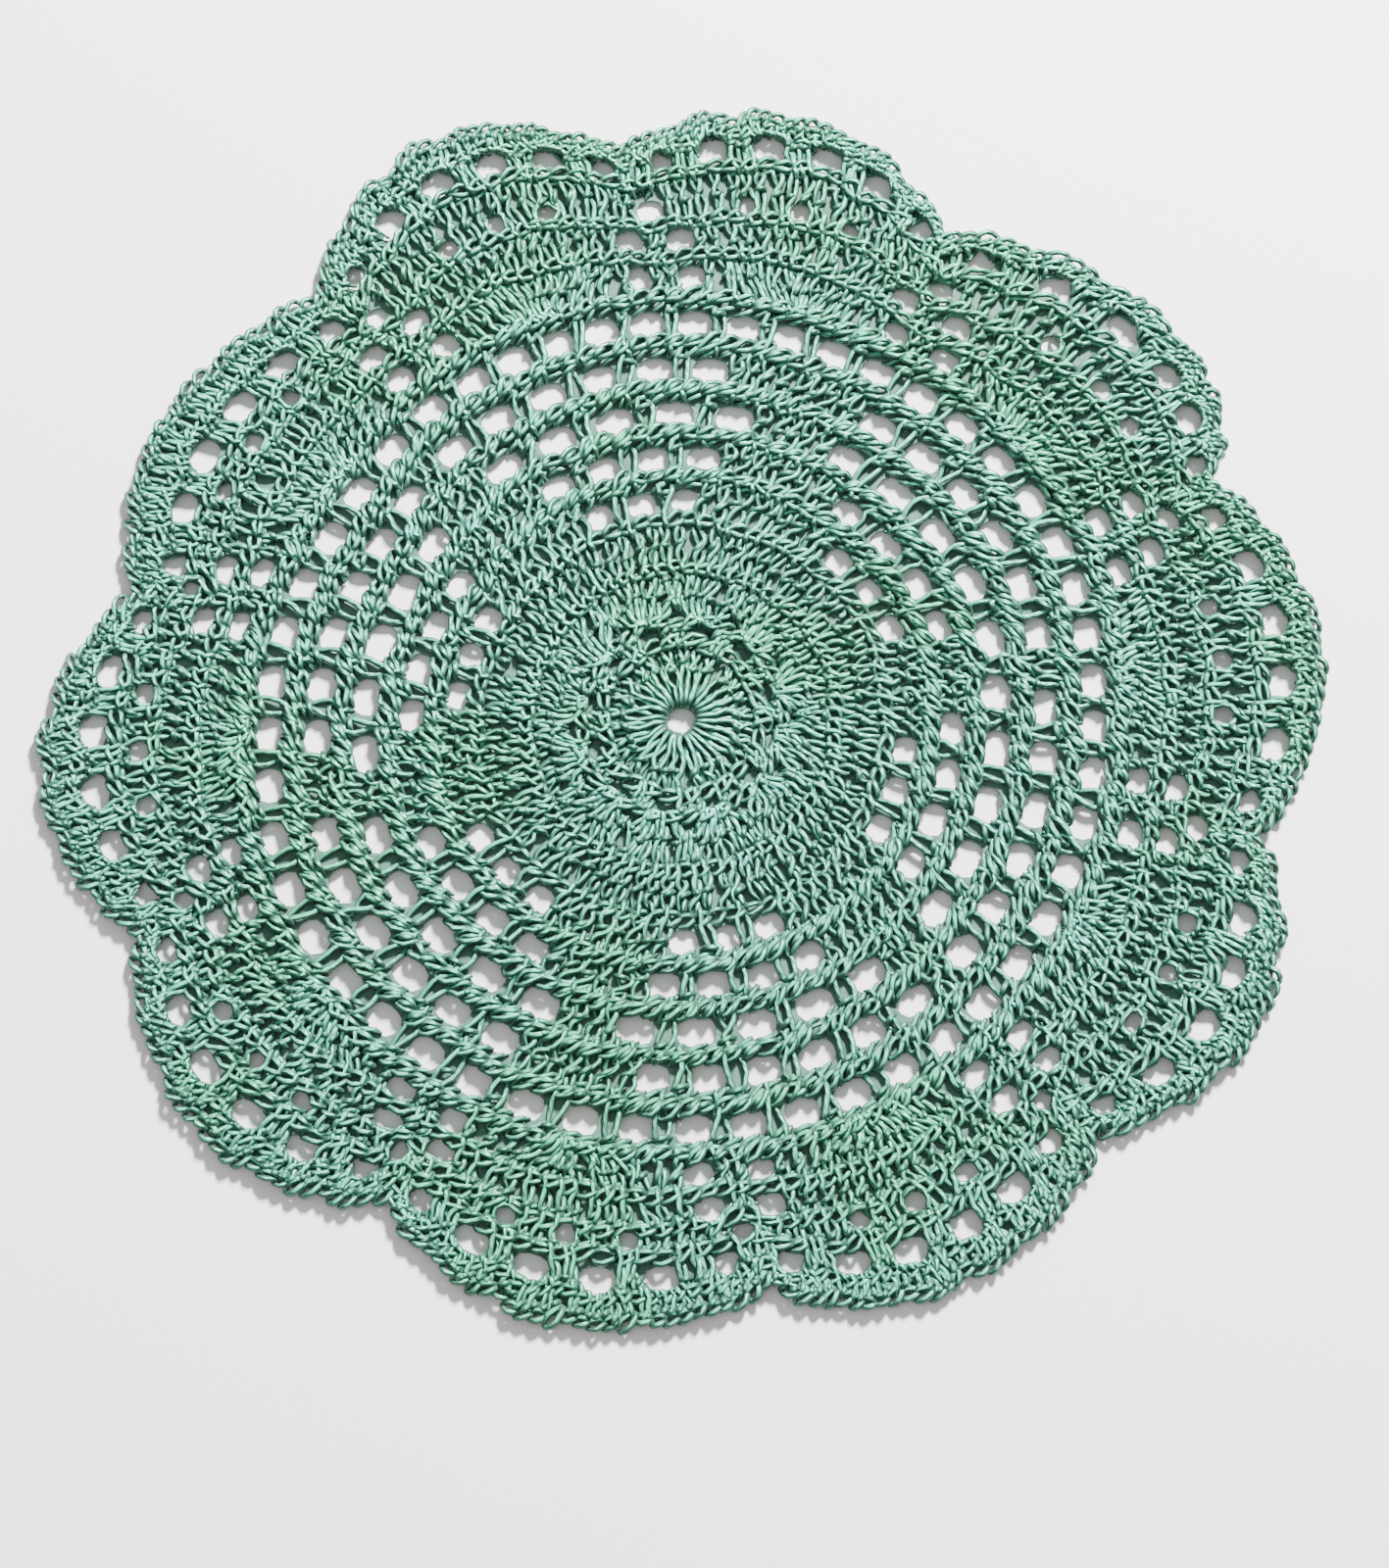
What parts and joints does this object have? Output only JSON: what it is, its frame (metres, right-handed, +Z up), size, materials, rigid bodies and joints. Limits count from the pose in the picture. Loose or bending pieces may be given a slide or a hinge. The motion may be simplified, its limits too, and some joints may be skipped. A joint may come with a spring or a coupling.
{
  "type": "lace doily",
  "caption": "Round crocheted lace doily with a scalloped fan edge, lying flat, to protect and dress a table or tray.",
  "frame": {"origin": "on the underside, below the middle of the outline's box", "axes": "+Z up out of the cloth; +Y away from the picture's camera, +X to its right"},
  "size_m": [0.2514, 0.2504, 0.003],
  "materials": {
    "cotton_thread": "glossed green cotton crochet thread"
  },
  "bodies": {
    "root": {"doily": "cotton_thread"}
  },
  "joints": []
}
